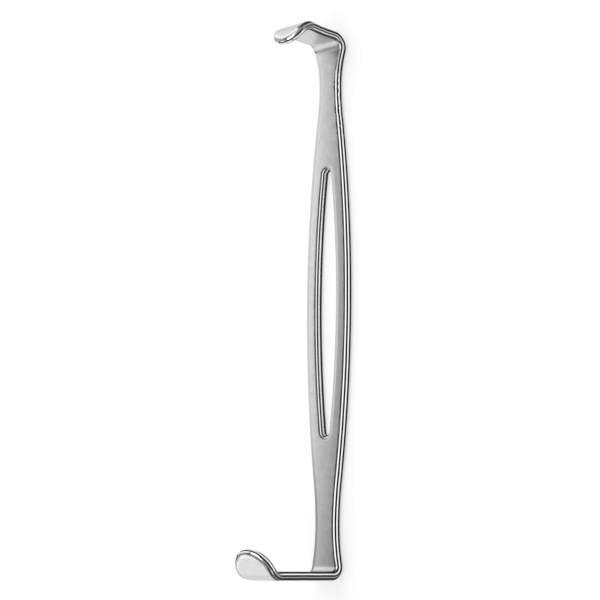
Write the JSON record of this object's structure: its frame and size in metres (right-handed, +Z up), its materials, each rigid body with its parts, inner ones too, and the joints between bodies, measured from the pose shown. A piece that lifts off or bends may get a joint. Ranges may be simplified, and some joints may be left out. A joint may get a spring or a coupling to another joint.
{
  "type": "handheld surgical retractor",
  "caption": "Double-ended hand retractor bent from one steel strip: slotted flat handle, a long and a short right-angle blade, each with a wide rounded lip that leans in over the handle.",
  "frame": {"origin": "middle of the bounding box on the plane of the handle's flat back, which is the plane the part lies on", "axes": "+X along the handle towards the short blade, +Z up from the handle's back along both blades, +Y across the handle"},
  "size_m": [0.114, 0.0116, 0.0244],
  "materials": {
    "steel": "fine satin on the broad faces, mirror polish on every rounded rim"
  },
  "bodies": {
    "root": {"retractor": "steel"}
  },
  "joints": []
}
